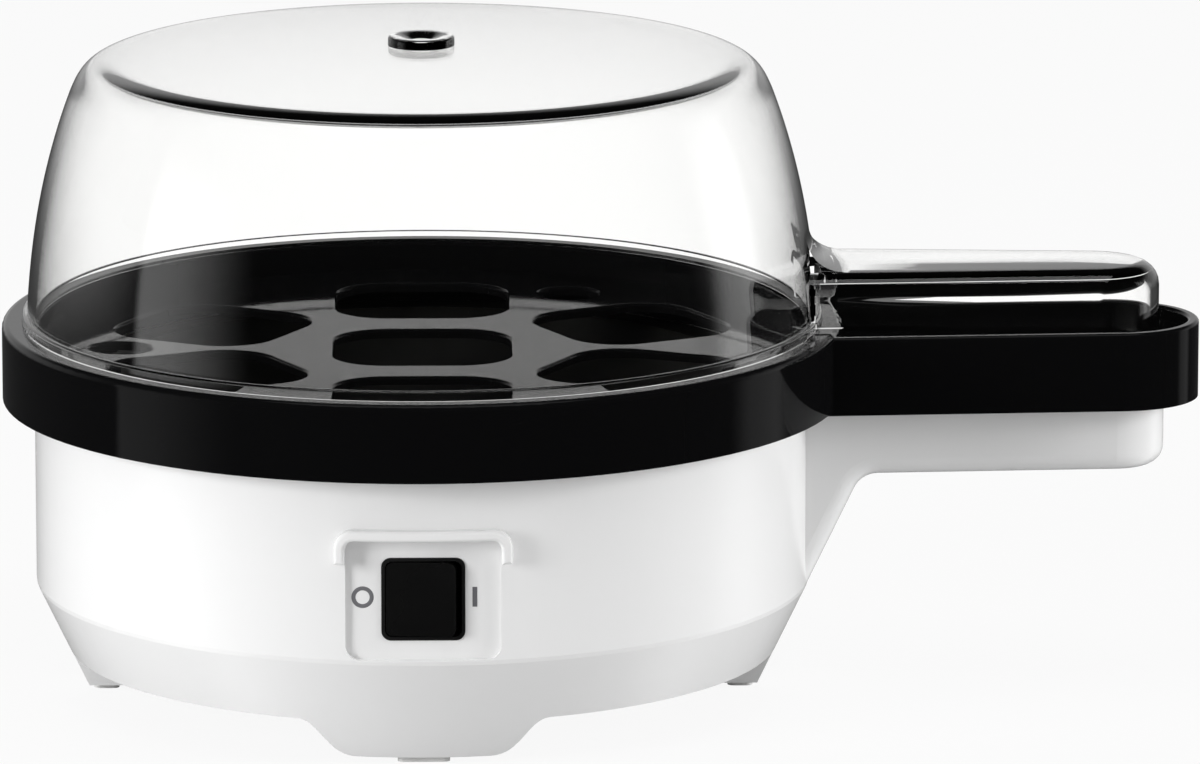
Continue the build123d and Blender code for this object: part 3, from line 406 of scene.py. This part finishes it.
def black_plastic():
    """Polished black, with wiping scratches that only show in the gloss."""
    made = Surface("black gloss plastic", Base_Color=(0.0030, 0.0030, 0.0032, 1), IOR=1.18)
    skin = made.group(MOULDED, Gloss_Roughness=0.045, Handling=0.02, Handling_Scale=24.0)
    lines = made.group(HAIRLINES, Scale=70.0, Amount=0.03)
    made.wear("Roughness", made.math("ADD", skin["Roughness"], lines["Mask"]))
    made.bump(skin["Height"], 0.00001)
    return made.material


def clear_plastic():
    """Clear moulding; rays from the lamps pass straight through it."""
    made = Surface("clear plastic", Base_Color=(0.995, 0.995, 0.99, 1), Transmission_Weight=1.0, IOR=1.49,
                   Metallic=0.0)
    skin = made.group(MOULDED, Gloss_Roughness=0.004, Handling=0.012, Handling_Scale=14.0)
    made.wear("Roughness", skin["Roughness"])
    through = made.node("ShaderNodeBsdfTransparent")
    through.inputs["Color"].default_value = (0.94, 0.94, 0.93, 1)
    shadow = made.node("ShaderNodeLightPath").outputs["Is Shadow Ray"]
    surface = made.blend(shadow, made.shader.outputs["BSDF"], through.outputs["BSDF"])
    made.link(surface, made.output.inputs["Surface"])
    return made.material


def bowl_painted_shade():
    """Spun metal coloured near-black as painted shade, for the shade under the egg tray, with dull chalky rings
    where the water stands.
    """
    made = Surface("dark bowl coat", Specular_IOR_Level=0.2)
    rings = made.group(TURNED, Ring_Scale=1400.0, Depth=0.6)
    skin = made.group(MOULDED, Gloss_Roughness=0.30, Handling=0.20, Handling_Scale=30.0)
    # Painted shade: the near-black colour stands in for the shade under the tray. The noise only varies it at
    # random.
    made.wear("Base Color", made.tint(skin["Shade"], (0.004, 0.004, 0.004), (0.010, 0.010, 0.009)))
    made.wear("Roughness", skin["Roughness"])
    made.bump(rings["Height"], 0.00006)
    return made.material


FINISHES = {
    "white_plastic": finish("white gloss plastic", (0.83, 0.83, 0.83), (0.815, 0.815, 0.815), 0.20, 0.04, 0.00002,
                            9.0),
    "black_plastic": black_plastic(),
    "clear_plastic": clear_plastic(),
    "button_plastic": finish("button plastic", (0.004, 0.004, 0.004), (0.006, 0.006, 0.006), 0.24, 0.06, 0.00003),
    "foot_rubber": finish("foot rubber", (0.74, 0.74, 0.73), (0.66, 0.66, 0.65), 0.62, 0.15, 0.0002),
    # the bowl's near-black colour is painted shade
    "bowl_metal": bowl_painted_shade(),
    "heater_metal": metal("heater tube", (0.30, 0.29, 0.29), (0.16, 0.15, 0.15), 0.42, 0.25, 40.0),
    "plated_steel": metal("zinc plate", (0.72, 0.73, 0.75), (0.55, 0.56, 0.58), 0.25, 0.20, 120.0),
    "seal_rubber": finish("seal rubber", (0.42, 0.07, 0.05), (0.34, 0.06, 0.045), 0.55, 0.12, 0.0001),
    "switch_plastic": finish("switch case", (0.008, 0.008, 0.008), (0.012, 0.012, 0.012), 0.35, 0.10, 0.00005),
    "contact_brass": metal("tinned brass", (0.72, 0.56, 0.30), (0.50, 0.37, 0.18), 0.28, 0.20, 150.0),
    "cream_plastic": finish("cream nylon", (0.74, 0.71, 0.62), (0.66, 0.63, 0.53), 0.45, 0.15, 0.0001),
    "ceramic": finish("glazed ceramic", (0.80, 0.78, 0.70), (0.70, 0.67, 0.60), 0.30, 0.20, 0.0001),
    "gland_rubber": finish("soft white grommet", (0.66, 0.66, 0.65), (0.58, 0.58, 0.57), 0.5, 0.12, 0.0001),
    "wire_brown": finish("brown insulation", (0.13, 0.05, 0.02), (0.10, 0.04, 0.018), 0.42, 0.12, 0.00008),
    "wire_blue": finish("blue insulation", (0.02, 0.10, 0.38), (0.02, 0.08, 0.30), 0.42, 0.12, 0.00008),
    "wire_green": finish("green insulation", (0.09, 0.33, 0.05), (0.50, 0.50, 0.04), 0.42, 0.12, 0.00008),
    "wire_white": finish("heatproof sleeve", (0.68, 0.67, 0.62), (0.58, 0.57, 0.52), 0.6, 0.15, 0.00015),
}

for part in frame["record"]["subparts"]:
    coat(nodes[part["node"]], FINISHES[part["material_slot"]])


# The lid

def dome_side(inset, low):
    """Outline of the dome from its foot up to the edge of its flat top, moved in by inset."""
    foot = Vector((FOOT_R - inset, low))
    bend = Vector((BEND_R - inset, BEND_Z))
    shoulder = Vector((SHOULDER_R - inset, SHOULDER_Z - 0.3 * inset))
    turn = INNER_TURN if inset else TURN
    rise = (shoulder - bend).normalized() * turn
    slope = 2 * (TOP_Z - EDGE_Z) / TOP_R
    edge = Vector((TOP_R - 0.2 * inset, EDGE_Z - inset))
    run = Vector((turn, -turn * slope))
    return curve([foot, bend, shoulder], SIDE_STEPS) + curve([shoulder, shoulder + rise, edge + run, edge],
                                                            SHOULDER_STEPS)[1:]


def crown(inset, inner, steps=14):
    """The slightly domed top, from the shoulder's edge in to the inner radius."""
    start = TOP_R - 0.2 * inset
    path = []
    for step in range(1, steps + 1):
        radius = start + (inner - start) * step / steps
        path.append(Vector((radius, TOP_Z - inset - (TOP_Z - EDGE_Z) * (radius / start) ** 2)))
    return path


def corner_round(x, z, size, turn_from, steps=5):
    """A quarter round of that size about (x, z), from that angle clockwise on."""
    path = []
    for step in range(steps + 1):
        angle = turn_from - math.pi / 2 * step / steps
        path.append(Vector((x + size * math.cos(angle), z + size * math.sin(angle))))
    return path


def dome_outside():
    band_top = FOOT_Z + BAND_H
    side = [point for point in dome_side(0, FOOT_Z) if point.y > band_top + 0.0005]
    band = corner_round(BAND_R - BAND_ROUND, band_top - BAND_ROUND, BAND_ROUND, math.pi / 2)[::-1]
    rim = corner_round(VENT_RIM_R - VENT_ROUND, TOP_Z + VENT_H - VENT_ROUND, VENT_ROUND, math.pi / 2)[::-1]
    rim_foot = crown(0, VENT_RIM_R)
    start = [Vector((0, FOOT_Z)), Vector((BAND_R, FOOT_Z))]
    join = [Vector((FOOT_R - 0.0001, band_top))]
    return spun(start + band + join + side + rim_foot + rim + [Vector((0, TOP_Z + VENT_H))], "dome_outside")


def dome_inside():
    below = FOOT_Z - OVERLAP
    above = TOP_Z + VENT_H
    flare = (VENT_TOP_R - VENT_LOW_R) / VENT_DISH
    hole = [Vector((VENT_LOW_R, above - VENT_DISH)), Vector((VENT_TOP_R + flare * WALL, above + WALL)),
            Vector((0, above + WALL))]
    side = [Vector((0, below))] + dome_side(WALL, below)
    return spun(side + crown(WALL, VENT_LOW_R) + hole, "dome_inside")


def handle_bar(inset, low, high):
    """Upright bar with drawn-in sides and a round end, from inside the dome to the handle's tip."""
    size = HANDLE_TIP_R - inset
    middle = HANDLE_TIP_X - HANDLE_TIP_R
    root_y = size * math.cos(TAPER) + (middle + size * math.sin(TAPER) - SHOULDER_R) * math.tan(TAPER)
    turn = math.pi / 2 - TAPER
    outline = [Vector((AXIS_X + SHOULDER_R, root_y, low))]
    for step in range(TIP_STEPS + 1):
        angle = turn - 2 * turn * step / TIP_STEPS
        outline.append(Vector((AXIS_X + middle + size * math.cos(angle), size * math.sin(angle), low)))
    outline += [Vector((AXIS_X + SHOULDER_R, -root_y, low)), outline[0]]
    piece = trace(outline)
    bpy.ops.mesh.remove_doubles(threshold=MERGE)
    bpy.ops.mesh.edge_face_add()
    bpy.ops.mesh.extrude_region_move(TRANSFORM_OT_translate={"value": (0, 0, high - low)})
    close_up()
    return settle(piece, "handle_bar")


def round_top(bar, high, size, segments):
    """Rounds the bar's upper edges, but not the one inside the dome."""
    edit_edges(bar, lambda point: abs(point.z - high) < LEVEL)
    bpy.ops.object.mode_set(mode="OBJECT")
    points = bar.data.vertices
    root = AXIS_X + SHOULDER_R + 0.0001
    for edge in bar.data.edges:
        if edge.select and all(points[index].co.x < root for index in edge.vertices):
            edge.select = False
    bpy.ops.object.mode_set(mode="EDIT")
    bpy.ops.mesh.bevel(offset=size, segments=segments, affect="EDGES")
    bpy.ops.object.mode_set(mode="OBJECT")


def handle_rise():
    """The curved rise from the handle's top into the dome."""
    low = HANDLE_TOP - OVERLAP
    arc = curve([(BLEND_R, HANDLE_TOP), (FOOT_R - BLEND_DRAW, HANDLE_TOP), (BLEND_TOP_R, BLEND_Z)], 12)
    outline = [Vector((0, low)), Vector((BLEND_R, low))] + arc
    outline += [Vector((SHOULDER_R, BLEND_Z)), Vector((0, BLEND_Z))]
    rise = spun(outline, "handle_rise")
    boolean(rise, handle_bar(HANDLE_ROUND, HANDLE_TOP - 2 * OVERLAP, BLEND_Z + OVERLAP), "INTERSECT")
    return rise


def clear_lid():
    """One clear moulding: the dome, its foot band, the ring round the vent and the hollow handle."""
    bar = handle_bar(0, HANDLE_FOOT, HANDLE_TOP)
    round_top(bar, HANDLE_TOP, HANDLE_ROUND, 6)
    hollow = handle_bar(WALL, HANDLE_FOOT - OVERLAP, HANDLE_TOP - WALL)
    round_top(hollow, HANDLE_TOP - WALL, HOLLOW_ROUND, 10)
    boolean(hollow, drum(FOOT_R + 0.0006, HANDLE_FOOT - 2 * OVERLAP, HANDLE_TOP), "DIFFERENCE")
    boolean(bar, hollow, "DIFFERENCE")
    boolean(bar, drum(STRADDLE_R, HANDLE_FOOT - 2 * OVERLAP, STRADDLE_Z), "DIFFERENCE")
    piece = dome_outside()
    boolean(piece, bar, "UNION")
    boolean(piece, handle_rise(), "UNION")
    boolean(piece, dome_inside(), "DIFFERENCE")
    settle(piece, "clear_lid")
    smooth(piece, 32)
    coat(piece, FINISHES["clear_plastic"])
    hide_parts("lid")
    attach(piece, "lid")
    print("clear_lid", len(piece.data.vertices), "points", len(piece.data.polygons), "faces")


clear_lid()


# Printed marks beside the rocker

def off_mark():
    """The open ring beside the rocker's O end, a torus pressed flat."""
    clear_selection()
    bpy.ops.mesh.primitive_torus_add(major_segments=72, minor_segments=12, major_radius=OFF_RADIUS,
                                     minor_radius=OFF_LINE, location=(AXIS_X + OFF_X, PANEL_Y, MARK_Z),
                                     rotation=(math.radians(90), 0, 0))
    mark = settle(bpy.context.object, "off_mark")
    bpy.ops.object.mode_set(mode="EDIT")
    bpy.ops.mesh.select_all(action="SELECT")
    bpy.ops.transform.resize(value=(1, OFF_FLATTEN, 1), center_override=(AXIS_X, PANEL_Y, MARK_Z))
    bpy.ops.object.mode_set(mode="OBJECT")
    smooth(mark, 50)
    return mark


def on_mark():
    """The bar beside the rocker's I end."""
    clear_selection()
    bpy.ops.mesh.primitive_cube_add(size=1, location=(AXIS_X + ON_X, PANEL_Y, MARK_Z))
    mark = bpy.context.object
    mark.scale = ON_SIZE
    settle(mark, "on_mark")
    soften = mark.modifiers.new("soft ends", "BEVEL")
    soften.width = ON_SOFTEN
    soften.segments = 2
    finish_modifiers(mark)
    return mark


INK = finish("grey ink", (0.13, 0.13, 0.14), (0.16, 0.16, 0.17), 0.45, 0.1, 0.00002)
for mark in (off_mark(), on_mark()):
    coat(mark, INK)
    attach(mark, "base")


# Studio

def camera():
    clear_selection()
    bpy.ops.object.camera_add(location=CAMERA_PLACE,
                              rotation=(math.radians(90 - CAMERA_DOWN), 0, math.radians(CAMERA_TURN)))
    view = bpy.context.object
    view.data.sensor_width = 36
    view.data.lens = CAMERA_LENS
    view.data.clip_end = 60
    bpy.context.scene.camera = view


def softbox(place, width, height, power, in_gloss):
    clear_selection()
    bpy.ops.object.light_add(type="AREA", location=place)
    lamp = bpy.context.object
    lamp.rotation_euler = (Vector(LAMP_AIM) - Vector(place)).to_track_quat("-Z", "Y").to_euler()
    lamp.data.shape = "RECTANGLE"
    lamp.data.size = width
    lamp.data.size_y = height
    lamp.data.energy = power
    lamp.visible_glossy = in_gloss
    lamp.visible_transmission = False


def gloss_tone(sky, across, depth, height):
    """What gloss mirrors: dark in front, light behind above the horizon, and a pale panel at each side."""
    behind = sky.remap(depth, -0.1, 0.6, 0, 1, "SMOOTHSTEP")
    back_tone = sky.remap(height, -0.19, 0.08, 0.06, 1.05, "SMOOTHSTEP")
    back_top = sky.remap(height, 0.30, 0.55, 1.0, 0.02, "SMOOTHSTEP")
    tone = sky.choose(behind, sky.math("MULTIPLY", back_tone, back_top), 0.01)
    low = sky.remap(height, 0.1, 0.4, 1, 0, "SMOOTHSTEP")
    turn = sky.math("ARCTAN2", across, sky.math("MULTIPLY", depth, -1.0))
    for start, full, fall, stop, strength in SIDE_PANELS:
        rise = sky.remap(turn, math.radians(start), math.radians(full), 0, strength, "SMOOTHSTEP")
        drop = sky.remap(turn, math.radians(stop), math.radians(fall), 0, 1, "SMOOTHSTEP")
        tone = sky.math("ADD", tone, sky.math("MULTIPLY", sky.math("MULTIPLY", rise, drop), low))
    return tone


def clear_tone(sky, height):
    """What the clear lid bends into view: white at and below the horizon, dark overhead."""
    return sky.remap(height, -0.02, 0.13, CLEAR_WHITE, 0.005, "SMOOTHSTEP")


def seen_flags(tree):
    """Masks for what the camera sees straight on, in a mirror's gloss, and through the clear lid alone."""
    path = tree.node("ShaderNodeLightPath").outputs
    direct = tree.math("LESS_THAN", path["Diffuse Depth"], 0.5)
    mirrored = tree.math("MULTIPLY", direct, tree.math("GREATER_THAN", path["Glossy Depth"], 0.5))
    through = tree.math("MULTIPLY", direct, tree.math("GREATER_THAN", path["Transmission Depth"], 0.5))
    return path["Is Camera Ray"], mirrored, through


def studio_world():
    """Plain even light. The camera sees white, gloss and the clear lid each see their own studio."""
    world = bpy.data.worlds.new("studio")
    bpy.context.scene.world = world
    world.use_nodes = True
    world.node_tree.nodes.clear()
    sky = Tree(world.node_tree)
    split = sky.node("ShaderNodeSeparateXYZ")
    sky.link(sky.node("ShaderNodeTexCoord").outputs["Generated"], split.inputs["Vector"])
    across, depth, height = (split.outputs[axis] for axis in "XYZ")
    straight, mirrored, through = seen_flags(sky)
    tone = sky.remap(height, -1, 1, 0.36, 0.50)
    tone = sky.choose(through, clear_tone(sky, height), tone)
    tone = sky.choose(mirrored, gloss_tone(sky, across, depth, height), tone)
    tone = sky.choose(straight, 1.0, tone)
    room = sky.node("ShaderNodeBackground")
    sky.link(tone, room.inputs["Strength"])
    sky.link(room.outputs["Background"], sky.node("ShaderNodeOutputWorld").inputs["Surface"])


def floor():
    """Pale floor, lifted to white for the camera, that keeps the cooker's shadow."""
    clear_selection()
    bpy.ops.mesh.primitive_plane_add(size=FLOOR_SIZE, location=(0, 0, 0))
    ground = settle(bpy.context.object, "studio_floor")
    made = Surface("pale floor", Roughness=0.6, Specular_IOR_Level=0.1)
    speckle = made.group(MOULDED, Handling_Scale=3.0)
    made.wear("Base Color", made.tint(speckle["Shade"], (0.63, 0.63, 0.63), (0.61, 0.61, 0.61)))
    straight, mirrored, through = seen_flags(made)
    glow = made.node("ShaderNodeEmission")
    made.link(made.choose(through, CLEAR_WHITE, 1.0), glow.inputs["Strength"])
    lifted = made.blend(made.math("MULTIPLY", made.math("MAXIMUM", straight, through), FLOOR_LIFT),
                        made.shader.outputs["BSDF"], glow.outputs["Emission"])
    hidden = made.node("ShaderNodeBsdfTransparent")
    surface = made.blend(mirrored, lifted, hidden.outputs["BSDF"])
    made.link(surface, made.output.inputs["Surface"])
    coat(ground, made.material)


camera()
studio_world()
floor()
for lamp in LAMPS:
    softbox(*lamp)

bpy.context.scene.view_settings.view_transform = "Standard"
